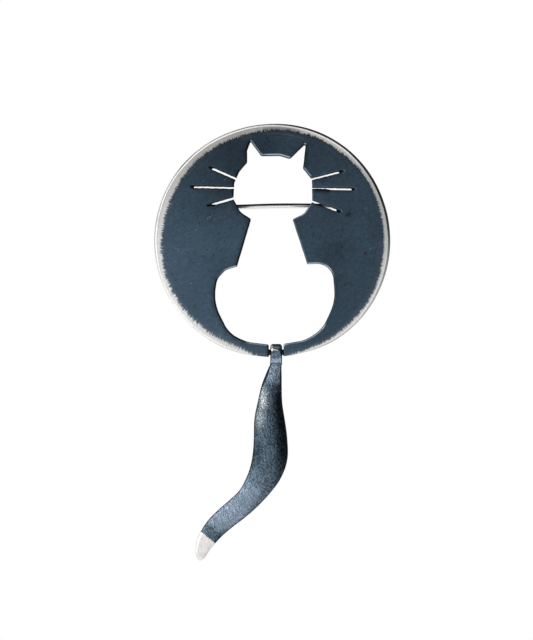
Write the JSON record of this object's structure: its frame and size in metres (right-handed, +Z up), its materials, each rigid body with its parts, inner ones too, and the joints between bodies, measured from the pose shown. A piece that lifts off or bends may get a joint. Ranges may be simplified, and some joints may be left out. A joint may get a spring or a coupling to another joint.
{
  "type": "cat brooch",
  "caption": "Domed round brooch with a sitting cat and its whiskers pierced through, a hinged tail that swings below, and a pin wire across the back.",
  "frame": {"origin": "on the axis of the pin wire, straight behind the vertical middle line of the disc, where the brooch sits on the cloth that it is pinned to", "axes": "+X to the wearer's left, which is the viewer's right; +Y back into the cloth, so the cat faces -Y; +Z up"},
  "size_m": [0.048, 0.0073, 0.0886],
  "materials": {
    "disc": "sterling silver, oxidised blue-black and satin, worn bright at the rim",
    "tail": "sterling silver, forged and oxidised grey-blue, polished bright at the tip",
    "pin_stem": "polished hard steel wire",
    "pin_rivet": "silver wire, darkened in the corners"
  },
  "bodies": {
    "brooch": {"disc": "disc", "pin_rivet": "pin_rivet"},
    "tail": {"tail": "tail"},
    "pin": {"pin_stem": "pin_stem"}
  },
  "joints": [
    {"name": "tail_swing", "type": "hinge", "parent": "brooch", "child": "tail", "pos_m": [0.0008, -0.0028, -0.0303], "axis": [1, 0, 0], "range_deg": [-165, 165]},
    {"name": "pin_swing", "type": "hinge", "parent": "brooch", "child": "pin", "pos_m": [-0.0175, 0, 0], "axis": [0, 0, 1], "range_deg": [0, 85]}
  ]
}
